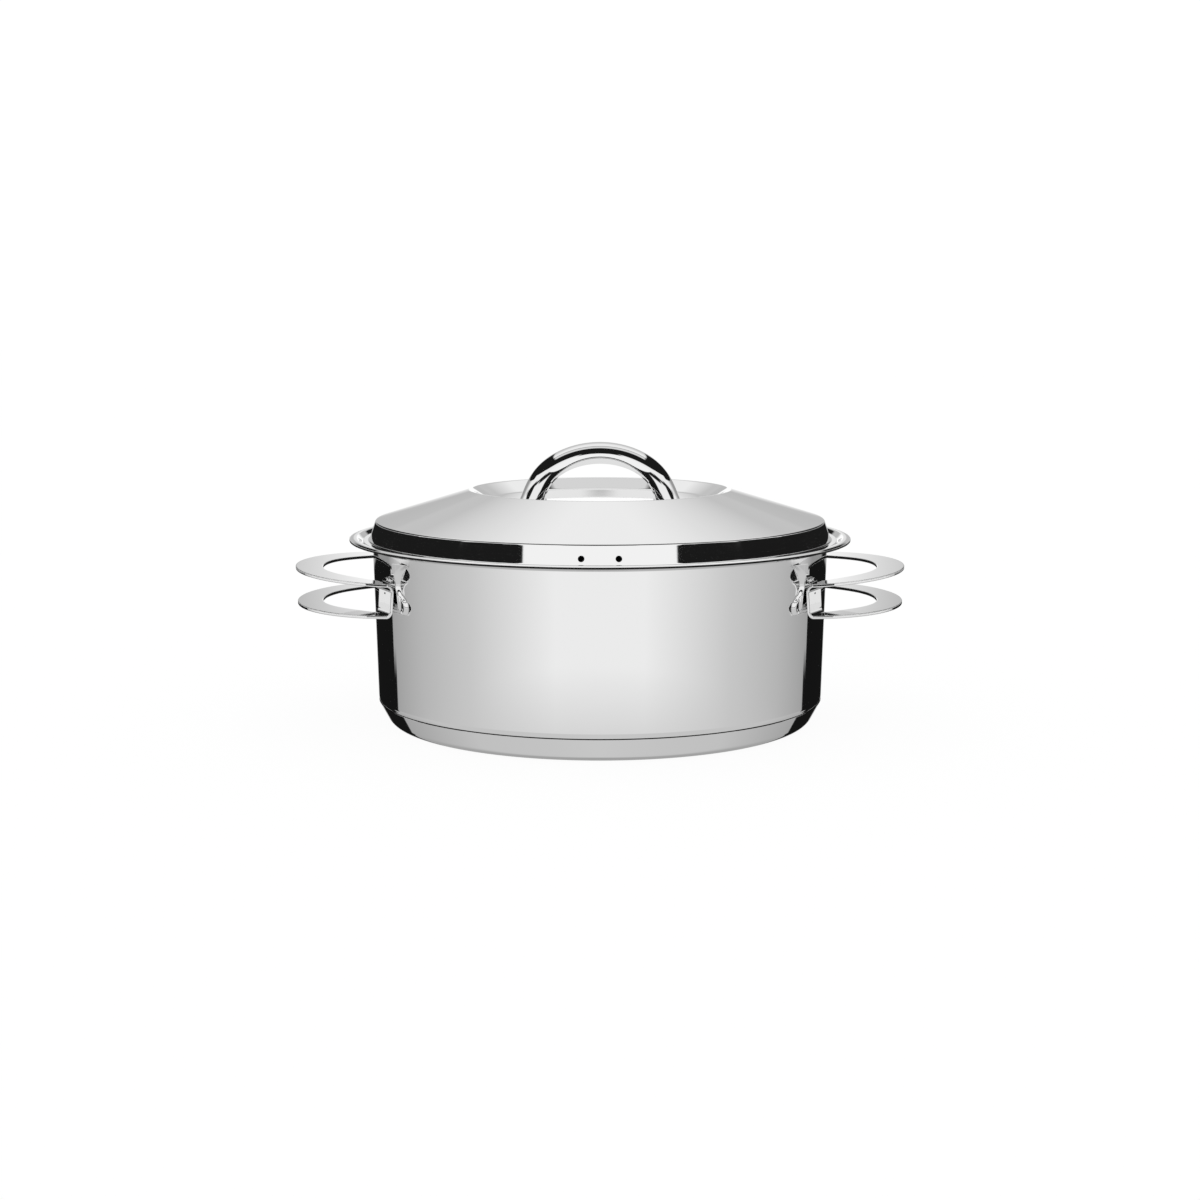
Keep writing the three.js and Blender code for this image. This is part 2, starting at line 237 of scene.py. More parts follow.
def lofted(name: str, rings: Sequence[Sequence[Vector]], endless: bool) -> bpy.types.Object:
    """Rings of points joined into a skin.

    Args:
        name: Of the piece.
        rings: Rings with the same number of points.
        endless: Whether the last ring joins the first, or both ends are closed.

    Returns:
        The new object.
    """
    count = len(rings[0])
    spans = len(rings) if endless else len(rings) - 1
    faces = []
    for ring in range(spans):
        here = ring * count
        there = (ring + 1) % len(rings) * count
        for index in range(count):
            after = (index + 1) % count
            faces.append((here + index, there + index, there + after, here + after))
    if not endless:
        faces.append(tuple(range(count)))
        faces.append(tuple(range(spans * count, spans * count + count)))
    return mesh_piece(name, [point for ring in rings for point in ring], faces)


def pressed(
    points: list[Vector], centre: Vector, inwards: Vector, size: float, depth: float
) -> list[Vector]:
    """Points with the shallow dimple of a spot weld pressed into them.

    Args:
        points: Points of a sheet.
        centre: Middle of the weld, on the sheet.
        inwards: The way that the electrode pressed.
        size: Radius of the dimple.
        depth: Of the dimple.

    Returns:
        The points, moved near the weld.
    """
    return [
        point + inwards * depth * math.exp(-(((point - centre).length / size) ** 2) * DIMPLE_FALL)
        for point in points
    ]


# Finishes


def linear(colour: str) -> tuple[float, float, float, float]:
    """Linear colour of an sRGB hex value.

    Args:
        colour: Such as "#d9dadb".

    Returns:
        Red, green and blue, with an alpha of 1.
    """
    shares = [int(colour[start : start + 2], 16) / 255 for start in (1, 3, 5)]
    red, green, blue = (
        share / 12.92 if share <= 0.04045 else ((share + 0.055) / 1.055) ** 2.4
        for share in shares
    )
    return red, green, blue, 1.0


def add_node(
    tree: bpy.types.NodeTree, kind: str, inputs: dict[str | int, object], **settings: object
) -> bpy.types.Node:
    """Add a node to a tree, with its settings and links.

    Args:
        tree: Tree of a material or of the world.
        kind: Blender's name for the kind of node, after the word that all of them start with.
        inputs: What goes into each socket: a node, to link its first output, one of a node's
            outputs, or a plain value.
        settings: The node's own properties.

    Returns:
        The new node.
    """
    added = tree.nodes.new(f"ShaderNode{kind}")
    for setting, value in settings.items():
        setattr(added, setting, value)
    for socket, value in inputs.items():
        source = value.outputs[0] if isinstance(value, bpy.types.Node) else value
        if isinstance(source, bpy.types.NodeSocket):
            tree.links.new(source, added.inputs[socket])
        else:
            added.inputs[socket].default_value = source
    return added


class Polish(Enum):
    """How a steel piece got its shine."""

    BUFFED_ROUND = "buffed on a turntable"
    TUMBLED = "tumbled and buffed by hand"


@dataclass(frozen=True)
class Finish:
    """What a piece is made of and how its surface was made, or the shade painted on it, which its
    name says.
    """

    name: str
    colour: str

    def material(self) -> bpy.types.Material:
        """Material of this finish, made once.

        Returns:
            The material.
        """
        known = bpy.data.materials.get(self.name)
        if known:
            return known
        material = bpy.data.materials.new(self.name)
        material.use_nodes = True
        tree = material.node_tree
        tree.nodes.clear()
        add_node(tree, "OutputMaterial", {"Surface": self.shader(tree)})
        return material

    def shader(self, tree: bpy.types.NodeTree) -> bpy.types.Node:
        """Shader of the surface, which each kind of finish makes in its own way."""
        raise NotImplementedError


@dataclass(frozen=True)
class PolishedSteel(Finish):
    """Stainless steel sheet, pressed and polished.

    The eye gets a clean mirror with soft edges: the pressing leaves the sheet a little wavy, and
    the polish leaves lines or a faint peel that blur what it shows.
    """

    polish: Polish
    gloss: tuple[float, float] = (0.02, 0.045)  # roughness, from the best to the poorest spots
    wave: float = 26.0  # mm from crest to crest of the pressed sheet
    wave_height: float = 0.006
    patch: float = 9.0  # mm, spots of poorer polish
    patch_detail: float = 3.0
    grit: float = 0.5  # mm; real lines are some 0.02 mm apart and are drawn coarser to show
    grit_height: float = 0.00012
    peel: float = 2.0  # mm from dimple to dimple of a tumbled surface

    def shader(self, tree: bpy.types.NodeTree) -> bpy.types.Node:
        """Mirror that the waves, the spots and the polishing marks blur.

        Args:
            tree: Tree of the material.

        Returns:
            The shader.
        """
        place = add_node(tree, "TexCoord", {}).outputs["Object"]
        waves = add_node(tree, "TexNoise", {"Vector": place, "Scale": 1 / (self.wave * MM)})
        spots = {"Vector": place, "Scale": 1 / (self.patch * MM), "Detail": self.patch_detail}
        patches = add_node(tree, "TexNoise", spots)
        best, poorest = self.gloss
        gloss = add_node(tree, "MapRange", {"Value": patches, "To Min": best, "To Max": poorest})
        wavy = add_node(tree, "Bump", {"Height": waves, "Distance": self.wave_height * MM})
        marks = {
            "Height": self.grit_pattern(tree, place),
            "Distance": self.grit_height * MM,
            "Normal": wavy,
        }
        mirror = {
            "Base Color": linear(self.colour),
            "Metallic": 1.0,
            "Roughness": gloss,
            "Normal": add_node(tree, "Bump", marks),
        }
        return add_node(tree, "BsdfPrincipled", mirror)

    def grit_pattern(
        self, tree: bpy.types.NodeTree, place: bpy.types.NodeSocket
    ) -> bpy.types.Node:
        """Height of the polishing marks.

        Args:
            tree: Tree of the material.
            place: Coordinates on the piece.

        Returns:
            The pattern, from 0 to 1.
        """
        if self.polish is Polish.TUMBLED:
            return add_node(tree, "TexNoise", {"Vector": place, "Scale": 1 / (self.peel * MM)})
        flat = add_node(tree, "VectorMath", {0: place, 1: (1, 1, 0)}, operation="MULTIPLY")
        radius = add_node(tree, "VectorMath", {0: flat}, operation="LENGTH").outputs["Value"]
        height = add_node(tree, "SeparateXYZ", {"Vector": place}).outputs["Z"]
        along = add_node(tree, "Math", {0: radius, 1: height}, operation="ADD")
        lines = {"W": along, "Scale": 1 / (self.grit * MM)}
        return add_node(tree, "TexNoise", lines, noise_dimensions="1D")


@dataclass(frozen=True)
class DullMetalOrPaintedShade(Finish):
    """Dull surface with a fine grain and no mirror: metal left as it was rolled, or a dark one
    that paints shade on a seam and on cut edges.
    """

    grain: float  # mm
    dullness: tuple[float, float]  # roughness, from the smoothest to the roughest grains
    metallic: float
    specular: float = 0.5
    stretch: tuple[float, float, float] = (1, 1, 1)  # of the grain, as a share of its scale

    def shader(self, tree: bpy.types.NodeTree) -> bpy.types.Node:
        """Dull surface whose grain changes its roughness.

        Args:
            tree: Tree of the material.

        Returns:
            The shader.
        """
        place = add_node(tree, "TexCoord", {}).outputs["Object"]
        drawn = add_node(tree, "VectorMath", {0: place, 1: self.stretch}, operation="MULTIPLY")
        grains = add_node(tree, "TexNoise", {"Vector": drawn, "Scale": 1 / (self.grain * MM)})
        least, most = self.dullness
        surface = {
            "Base Color": linear(self.colour),
            "Metallic": self.metallic,
            "Roughness": add_node(
                tree, "MapRange", {"Value": grains, "To Min": least, "To Max": most}
            ),
            "Specular IOR Level": self.specular,
        }
        return add_node(tree, "BsdfPrincipled", surface)


@dataclass(frozen=True)
class BacklitPaper(Finish):
    """Matt white paper with light behind it: an even white on which only a faint shadow falls."""

    backlight: float  # share of the white that no shadow falls on

    def shader(self, tree: bpy.types.NodeTree) -> bpy.types.Node:
        """Paper that shines through.

        Args:
            tree: Tree of the material.

        Returns:
            The shader.
        """
        paper = add_node(tree, "BsdfDiffuse", {"Color": linear(self.colour)})
        backlit = add_node(tree, "Emission", {"Color": linear(self.colour)})
        return add_node(tree, "MixShader", {0: self.backlight, 1: paper, 2: backlit})


# clear mirrors: the pressed sheets were buffed round, the small fittings tumbled
SHEET = PolishedSteel("stainless_sheet_turntable_buffed", "#ebebeb", Polish.BUFFED_ROUND)
FITTING = PolishedSteel("stainless_fitting_tumble_polished", "#ebebeb", Polish.TUMBLED)
# thin dark lines of painted shade: in the seam over the base, and on the cut edges of the lip and
# of the handle rings
SEAM_PAINTED_SHADE = DullMetalOrPaintedShade("seam_shade_painted_dark", "#1c1b1a", 0.6, (0.55, 0.8), 0.0, 0.2)
EDGE_PAINTED_SHADE = DullMetalOrPaintedShade("edge_shade_painted_dark", "#0e0e0e", 0.15, (0.55, 0.8), 0.0, 0.2)
# dull pale disc with long fine rolling lines
ROLLED_DISC = DullMetalOrPaintedShade(
    "rolled_bare_aluminium", "#c9cbcd", 0.8, (0.35, 0.5), 1.0, stretch=(0.02, 1, 1)
)
PAPER = BacklitPaper("white_paper_sweep", "#ffffff", 0.93)


def dress(
    piece: bpy.types.Object, finish: Finish, node: str, body: str
) -> None:
    """Give a piece its finish and its place in the frame.

    Args:
        piece: The finished mesh.
        finish: Its finish.
        node: Solid that it stands for.
        body: Body that it moves with.
    """
    piece.data.materials.append(finish.material())
    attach(piece, body)
    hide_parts(node)
    log.info("%s: %d faces, for %s", piece.name, len(piece.data.polygons), node)


# Sub-assemblies


@dataclass
class Bowl:
    """Pressed bowl with its drafted wall and stepped rim, and the capsule base under it."""

    wall_sheet: float = 0.9
    wall_draft: float = math.radians(1.5)
    floor_bend: float = 5.1
    flare_bend: float = 1.7
    seat_width: float = 6.4
    step_run: float = 2.4
    step_rise: float = 2.55
    step_bend: float = 1.2
    lip_width: float = 4.2
    lip_turn: float = 1.8  # outer part of the lip, turned down
    lip_turn_drop: float = 0.65
    lip_bend: float = 2.0
    lip_edge: float = 0.35  # level again at its very edge, so that the cut stands upright
    lip_edge_bend: float = 0.3
    lip_cut: float = 0.12  # outermost part, with the soft corners of the cut, which gets the painted shade
    cap_sheet: float = 0.8
    cap_lean: float = math.radians(28)
    cap_bend: float = 6.7
    cap_height: float = 12.3
    cap_rim_steps: int = 12
    seam_top: float = 12.9  # the painted shade of the seam reaches up to here over the cap's rim

    def __post_init__(self) -> None:
        """Take the overall sizes from the frame."""
        low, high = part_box("pot_body")
        self.lip_radius = high.x / MM
        self.floor_top = low.z / MM + self.wall_sheet
        self.seat_height = high.z / MM - self.step_rise
        self.mouth_radius = self.lip_radius - self.lip_width - self.step_run - self.seat_width
        self.cap_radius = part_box("base_cap")[1].x / MM

    def wall_inside(self, height: float) -> float:
        """Inner radius of the wall at a height."""
        return self.mouth_radius - (self.seat_height - height) * math.tan(self.wall_draft)

    def wall_outside(self, height: float) -> float:
        """Outer radius of the wall at a height."""
        return self.wall_inside(height) + self.wall_sheet / math.cos(self.wall_draft)

    def bowl_sheet(self) -> bpy.types.Object:
        """Bowl with floor, wall, flare, lid seat, step and lip, from one sheet.

        Returns:
            The new object.
        """
        step_radius = self.mouth_radius + self.seat_width
        lip_top = self.seat_height + self.step_rise
        inside = [
            Vector((0, self.floor_top)),
            Vector((self.wall_inside(self.floor_top), self.floor_top)),
            Vector((self.mouth_radius, self.seat_height)),
            Vector((step_radius, self.seat_height)),
            Vector((step_radius + self.step_run, lip_top)),
            Vector((self.lip_radius - self.lip_turn, lip_top)),
            Vector((self.lip_radius - self.lip_edge, lip_top - self.lip_turn_drop)),
            Vector((self.lip_radius, lip_top - self.lip_turn_drop)),
        ]
        rim_bends = [self.step_bend, self.step_bend, self.lip_bend, self.lip_edge_bend]
        bends = [self.floor_bend, self.flare_bend, *rim_bends]
        return turned("bowl_sheet", sheet_section(inside, bends, -self.wall_sheet))

    def cap_tray(self) -> bpy.types.Object:
        """Tray round the heat-spreading disc, its rim pressed to the bend of the bowl.

        Returns:
            The new object.
        """
        rim = Vector((self.cap_radius, self.cap_height))
        corner = Vector((rim.x - rim.y * math.tan(self.cap_lean), 0))
        outside = [Vector((0, 0)), corner, rim]
        middle = Vector((0, self.floor_top + self.floor_bend))
        middle.x = self.wall_inside(middle.y) - self.floor_bend / math.cos(self.wall_draft)
        reach = self.floor_bend + self.wall_sheet + FIT
        inside = offset_line(outside, self.cap_sheet)
        up = (inside[2] - inside[1]).normalized()
        start = inside[1] - middle
        along = -start.dot(up) - math.sqrt(start.dot(up) ** 2 - start.length_squared + reach**2)
        inside[2] = inside[1] + up * along
        low, high = (
            math.atan2(end.y - middle.y, end.x - middle.x) for end in (inside[2], rim)
        )
        pressed_rim = []
        for step in range(self.cap_rim_steps):
            angle = high + (low - high) * step / self.cap_rim_steps
            pressed_rim.append(middle + Vector((math.cos(angle), math.sin(angle))) * reach)
        face = bent_line(outside, [self.cap_bend])
        back = bent_line(inside, [self.cap_bend - self.cap_sheet])
        return turned("base_cap_tray", [*face, *pressed_rim, *reversed(back)])

    def paint_shade_lines(self, bowl: bpy.types.Object) -> None:
        """Paint shade on the seam over the base and on the cut edge of the lip, as dark finishes
        of their own.

        Args:
            bowl: The bowl, dressed in its sheet.
        """
        bowl.data.materials.append(SEAM_PAINTED_SHADE.material())
        bowl.data.materials.append(EDGE_PAINTED_SHADE.material())
        seam, cut = 1, 2  # slots of the two painted shades, after the polish
        edge = self.lip_radius - self.lip_cut
        for face in bowl.data.polygons:
            corners = [bowl.data.vertices[index].co for index in face.vertices]
            if max(corner.z for corner in corners) < self.seam_top * MM and face.normal.z < 0:
                face.material_index = seam
            if min(corner.xy.length for corner in corners) > edge * MM:
                face.material_index = cut

    def build(self) -> None:
        """Make and dress the bowl, the base cap and the disc inside it."""
        bowl = self.bowl_sheet()
        dress(bowl, SHEET, "pot_body", "pot")
        # dark lines of painted shade on the seam over the base and on the lip's cut edge
        self.paint_shade_lines(bowl)
        dress(self.cap_tray(), SHEET, "base_cap", "pot")
        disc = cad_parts["base_core"]
        disc.data.materials.clear()
        disc.data.materials.append(ROLLED_DISC.material())
        log.info("base_core: kept, with its own finish")


class Side(Enum):
    """Which side of the pot a handle is on, as its turn from the left."""

    LEFT = 0.0
    RIGHT = math.pi


class Web(Enum):
    """Which web of a handle, as seen on the left side of the pot."""

    FRONT = -1
    BACK = 1


@dataclass(frozen=True)
class Loop:
    """One of the two loops that a bent ring makes."""

    level: int  # 1 for the upper one, -1 for the lower one
    shortfall: float  # how far its tip stays behind the reach of the handle
    tip_band: float
    splay: float  # how far it opens outwards


UPPER = Loop(1, 0.0, 14.5, math.radians(2.6))
LOWER = Loop(-1, 0.8, 13.5, math.radians(0.1))


@dataclass
class SideHandle:
    """Oval ring of sheet bent into a U, and the two stamped brackets that carry it.

    It is worked out on the left of the pot and turned half round for the right.
    """

    side: Side
    bowl: Bowl
    sheet: float = 1.6
    edge_radius: float = 0.28
    edge_steps: int = 4
    band_columns: int = 28
    root_band: float = 15.5
    height: float = 17.8
    drop: float = 24.0
    bend: float = 3.2
    web_azimuth: float = math.radians(28.5)
    loop_steps: int = 40
    bend_steps: int = 10
    web_steps: int = 24
    web_lean: float = 0.7  # how far the lower end of a web stands out
    weld_size: float = 0.9
    weld_depth: float = 0.055
    weld_spacing: float = 5.3
    outer_fullness: tuple[float, float, float] = (0.55, 0.52, 0.0)  # at tip and flank, drawn in
    inner_fullness: tuple[float, float, float] = (0.5, 0.6, 0.27)
    bracket_sheet: float = 1.2
    bracket_seat: float = 0.06  # gap to the wall where it is welded
    bracket_columns: int = 44
    coined_edge: float = 3.0  # outer edge, beaten down to the wall
    coined_least: float = 0.03  # share of the sheet that is left at its edges
    round_edge: float = 0.4
    joggle: float = 0.6
    joggle_run: float = 1.4
    bracket_drop: float = 4.9
    pad_front: float = 3.1
    pad_back: float = 1.2
    toe: float = 1.0  # width of the pad's lowest row
    toe_rise: float = 1.6  # height over which the pad reaches its full width
    tab_inner: float = 2.9
    tab_outer: float = 9.4
    tab_rise: float = 6.0  # height over which the pad turns into the tab
    tab_tilt: float = 0.18  # how far the tab leans off the wall, per millimetre along it
    foot_radius: float = 4.3
    foot_reach: float = 2.9
    foot_rise: float = 3.0
    foot_turn: float = math.radians(50)
    foot_steps: int = 14
    foot_weld: float = 2.4
    foot_weld_depth: float = 0.06
    waist_steps: int = 18

    def __post_init__(self) -> None:
        """Take the reach from the frame, and the place of webs and brackets from the wall."""
        self.reach = -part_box("left_handle")[0].x / MM
        self.middle = self.bowl.seat_height - self.drop
        stack = self.joggle + self.bracket_sheet + 2 * FIT + self.sheet / 2
        self.web_distance = self.bowl.wall_outside(self.middle) + stack
        self.pad_low = self.middle - self.height / 2 + self.bend
        self.pad_high = self.middle + self.height / 2 - self.sheet / 2
        self.pad_edge = self.root_band / 2 + self.pad_front

    def outwards(self, web: Web) -> Vector:
        """Direction from the pot's axis through a web."""
        return Vector((-math.cos(self.web_azimuth), web.value * math.sin(self.web_azimuth), 0))

    def sideways(self, web: Web) -> Vector:
        """Direction along the wall, away from the middle of the handle."""
        return Vector((math.sin(self.web_azimuth), web.value * math.cos(self.web_azimuth), 0))

    def placed(self, points: Sequence[Vector]) -> list[Vector]:
        """Points turned to this side of the pot."""
        turn = Matrix.Rotation(self.side.value, 3, "Z")
        return [turn @ point for point in points]

    def loop_end(self, web: Web, outer: bool) -> Vector:
        """Where an edge of a loop ends, just before it bends into a web."""
        offset = (self.root_band if outer else -self.root_band) / 2
        return self.outwards(web) * (self.web_distance + self.bend) + self.sideways(web) * offset

    def loop_edge(self, loop: Loop, web: Web, outer: bool) -> list[Vector]:
        """Plan curve of one edge of a loop.

        Args:
            loop: The loop.
            web: The web that it runs to.
            outer: Whether it is the outer edge.

        Returns:
            Points from the tip of the loop to the web.
        """
        end = self.loop_end(web, outer)
        tip = self.reach - loop.shortfall - (0 if outer else loop.tip_band)
        full_tip, full_flank, draw_in = self.outer_fullness if outer else self.inner_fullness
        return interpolate_bezier(
            Vector((-tip, 0, 0)),
            Vector((-tip, end.y * full_tip, 0)),
            Vector((end.x - (tip + end.x) * full_flank, end.y * (1 - draw_in), 0)),
            end,
            self.loop_steps + 1,
        )

    def band(self, inner: Vector, outer: Vector, normal: Vector) -> list[Vector]:
        """Section of the band with rounded edges.

        Args:
            inner: Middle of its inner edge.
            outer: Middle of its outer edge.
            normal: Direction of the face that is on the outside of the U.

        Returns:
            The points round the section, from the middle of the inner edge.
        """
        width = (outer - inner).length
        across = (outer - inner) / width
        radius = self.edge_radius
        flat = self.sheet / 2 - radius
        edge = [(0.0, -flat / 2)]
        for step in range(self.edge_steps, -1, -1):
            angle = math.pi / 2 * step / self.edge_steps
            edge.append((radius - radius * math.sin(angle), -flat - radius * math.cos(angle)))
        run = width - 2 * radius
        columns = self.band_columns
        marks = [HOLD, *(run * column / columns for column in range(1, columns)), run - HOLD]
        half = edge + [(radius + mark, -self.sheet / 2) for mark in marks]
        half += [(width - place, height) for place, height in reversed(edge)]
        return [
            inner + across * place + normal * height
            for place, height in half + [(place, -height) for place, height in reversed(half)]
        ]

    def lifted(self, point: Vector, loop: Loop) -> Vector:
        """Point of the plan at the height of a loop.

        Args:
            point: Point of the plan.
            loop: The loop that it is on.

        Returns:
            The raised point.
        """
        hinge = self.outwards(Web.BACK).x * (self.web_distance + self.bend)
        rise = (self.height - self.sheet) / 2 + (hinge - point.x) * math.tan(loop.splay)
        return Vector((point.x, point.y, self.middle + loop.level * rise))

    def loop_rings(self, loop: Loop, first: Web) -> list[list[Vector]]:
        """Rings of one loop, from one web round its tip to the other.

        Args:
            loop: The loop.
            first: The web where it starts.

        Returns:
            The rings in order.
        """
        last = Web(-first.value)
        edges = []
        for outer in (False, True):
            leaving = self.loop_edge(loop, first, outer)[::-1]
            edges.append(leaving + self.loop_edge(loop, last, outer)[1:])
        normal = Vector((0, 0, loop.level))
        return [
            self.band(self.lifted(inner, loop), self.lifted(outer, loop), normal)
            for inner, outer in zip(*edges)
        ]

    def web_rings(self, web: Web, first: Loop, last: Loop) -> list[list[Vector]]:
        """Rings of one web with the bends at both its ends.

        Args:
            web: Which web.
            first: The loop that it leaves.
            last: The loop that it joins.

        Returns:
            The rings in order.
        """
        radial = self.outwards(web)

        def bend_ring(loop: Loop, step: int) -> tuple[Vector, Vector, Vector]:
            """Edges and normal of one ring in the bend at a loop.

            Args:
                loop: The loop.
                step: Of the bend, from the loop to the web.

            Returns:
                The inner edge, the outer edge and the normal.
            """
            angle = math.pi / 2 * step / self.bend_steps
            inwards = self.bend - (self.web_lean if loop is LOWER else 0)
            drop = Vector((0, 0, -loop.level * self.bend * (1 - math.cos(angle))))
            inner, outer = (
                self.lifted(self.loop_end(web, edge), loop)
                + drop
                - radial * inwards * math.sin(angle)
                for edge in (False, True)
            )
            normal = Vector((0, 0, loop.level)) * math.cos(angle) - radial * math.sin(angle)
            return inner, outer, normal

        steps = range(1, self.bend_steps + 1)
        leaving = [bend_ring(first, step) for step in steps]
        arriving = [bend_ring(last, step) for step in reversed(steps)]
        between = []
        for step in range(1, self.web_steps):
            share = step / self.web_steps
            between.append([
                start.lerp(end, share) for start, end in zip(leaving[-1], arriving[0])
            ])
        return [self.band(*ring) for ring in (*leaving, *between, *arriving)]

    def ring_band(self) -> bpy.types.Object:
        """The bent ring, with the spot welds on the outside of its webs.

        Returns:
            The new object, with the faces of its punched inner edge marked for the painted shade.
        """
        rings = [
            *self.loop_rings(UPPER, Web.FRONT),
            *self.web_rings(Web.BACK, UPPER, LOWER),
            *self.loop_rings(LOWER, Web.BACK),
            *self.web_rings(Web.FRONT, LOWER, UPPER),
        ]
        for web in Web:
            radial = self.outwards(web)
            for level in (-1, 1):
                centre = radial * (self.web_distance + self.sheet / 2)
                centre.z = self.middle + level * self.weld_spacing / 2
                rings = [
                    pressed(ring, centre, -radial, self.weld_size, self.weld_depth)
                    for ring in rings
                ]
        rings = [self.placed(ring) for ring in rings]
        skin = lofted(f"{self.side.name.lower()}_ring_handle", rings, endless=True)
        count = len(rings[0])
        cut_before, cut_faces = 3, 5  # flat of the edge, and the first facet of its two corners, which get the painted shade
        for face in skin.data.polygons:
            if (face.index + cut_before) % count < cut_faces:
                face.material_index = 1  # painted shade on the cut edge, the dark finish that comes after the polish
        return skin

    def bracket_rows(self) -> list[tuple[float, float, float]]:
        """Outline of a bracket, from its foot to the top of its tab.

        Returns:
            Height, inner end and outer end of each row across it.
        """
        front, high = self.pad_edge, self.pad_high
        back = -self.root_band / 2 - self.pad_back
        top = self.bowl.seat_height - self.bracket_drop
        foot = Vector((front + self.foot_reach, self.pad_low + self.foot_rise))
        side = []
        for step in range(self.foot_steps + 1):
            angle = -math.pi / 2 + (math.pi / 2 + self.foot_turn) * step / self.foot_steps
            side.append(foot + Vector((math.cos(angle), math.sin(angle))) * self.foot_radius)
        waist = Vector((front, high))
        above_foot = Vector((front, foot.y + self.foot_radius + self.foot_rise))
        below_tab = Vector((front, top - self.foot_radius))
        tab = Vector((front + self.tab_outer, top))
        pull = 2 / 3  # makes two handles of a curve from the one corner that it is drawn to
        for start, corner, end in ((side[-1], above_foot, waist), (waist, below_tab, tab)):
            handles = start.lerp(corner, pull), end.lerp(corner, pull)
            side.extend(interpolate_bezier(start, *handles, end, self.waist_steps + 1)[1:])
        rows = []
        for outer, height in side:
            widened = smoothstep((height - side[0].y) / self.toe_rise)
            start = front - self.toe + (back - front + self.toe) * widened
            narrowed = smoothstep((height - high) / self.tab_rise)
            rows.append((height, start + (front - self.tab_inner - back) * narrowed, outer))
        return rows

    def stand_off(self, along: float, height: float) -> float:
        """How far a bracket stands off the wall: its pad is joggled and its tab leans outwards.

        Args:
            along: Place along the wall, from the middle of the web.
            height: Over the table.

        Returns:
            The distance.
        """
        sides = (self.pad_edge + self.joggle_run - along, height - self.pad_low)
        pad = self.joggle * math.prod(smoothstep(side / self.joggle_run) for side in sides)
        leaning = smoothstep((height - self.pad_high) / self.tab_rise)
        lean = self.tab_tilt * (self.pad_edge + self.tab_outer - along) * leaning
        return math.hypot(pad, lean)

    def bracket_points(self, web: Web) -> list[Vector]:
        """Points of a bracket, row by row, over its face and then over its back.

        Args:
            web: The web that it carries.

        Returns:
            The points, with the weld pressed into the foot.
        """
        rows = self.bracket_rows()
        bottom = rows[0][0]
        radial, sideways = self.outwards(web), self.sideways(web)
        points = []
        for lift in (self.bracket_sheet, 0.0):
            for height, inner, outer in rows:
                for column in range(self.bracket_columns + 1):
                    share = (1 - math.cos(math.pi * column / self.bracket_columns)) / 2
                    along = inner + (outer - inner) * share
                    rolled = smoothstep((outer - along) / self.coined_edge)
                    rounded = [
                        math.sqrt(1 - max(1 - distance / self.round_edge, 0) ** 2)
                        for distance in (along - inner, height - bottom)
                    ]
                    radius = self.bowl.wall_outside(height) + self.bracket_seat
                    radius += self.stand_off(along, height) * rolled
                    radius += lift * max(rolled * math.prod(rounded), self.coined_least)
                    depth = math.sqrt(radius**2 - along**2)
                    points.append(radial * depth + sideways * along + Vector((0, 0, height)))
        foot = self.pad_edge + self.foot_reach
        foot_height = self.pad_low + self.foot_rise
        radius = self.bowl.wall_outside(foot_height) + self.bracket_seat + self.bracket_sheet
        weld = radial * math.sqrt(radius**2 - foot**2) + sideways * foot
        weld.z = foot_height
        return pressed(points, weld, -weld.normalized(), self.foot_weld, self.foot_weld_depth)

    def bracket(self, web: Web, name: str) -> bpy.types.Object:
        """Stamped plate: pad behind the web, tab under the rim and round foot with its weld.

        Args:
            web: The web that it carries.
            name: Of the piece.

        Returns:
            The new object.
        """
        points = self.placed(self.bracket_points(web))
        columns = self.bracket_columns
        width = columns + 1
        under = len(points) // 2
        last_row = under // width - 1
        faces = []
        for start in (0, under):
            for row in range(last_row):
                for column in range(columns):
                    first = start + row * width + column
                    faces.append((first, first + 1, first + width + 1, first + width))
        rim = list(range(columns))
        rim += [row * width + columns for row in range(last_row)]
        rim += [under - 1 - column for column in range(columns)]
        rim += [row * width for row in range(last_row, 0, -1)]
        for here, there in zip(rim, rim[1:] + rim[:1]):
            faces.append((here, there, there + under, here + under))
        return mesh_piece(name, points, faces)

    def build(self) -> None:
        """Make and dress the ring and its brackets."""
        side = self.side.name.lower()
        skin = self.ring_band()
        dress(skin, FITTING, f"{side}_handle", "pot")
        # dark finish that paints shade on the inner edge of the ring
        skin.data.materials.append(EDGE_PAINTED_SHADE.material())
        for web in Web:
            turned_round = self.side is Side.RIGHT
            front = (web is Web.FRONT) is not turned_round
            node = f"{side}_{'front' if front else 'back'}_bracket"
            plate = self.bracket(web, f"{node}_plate")
            dress(plate, FITTING, node, "pot")


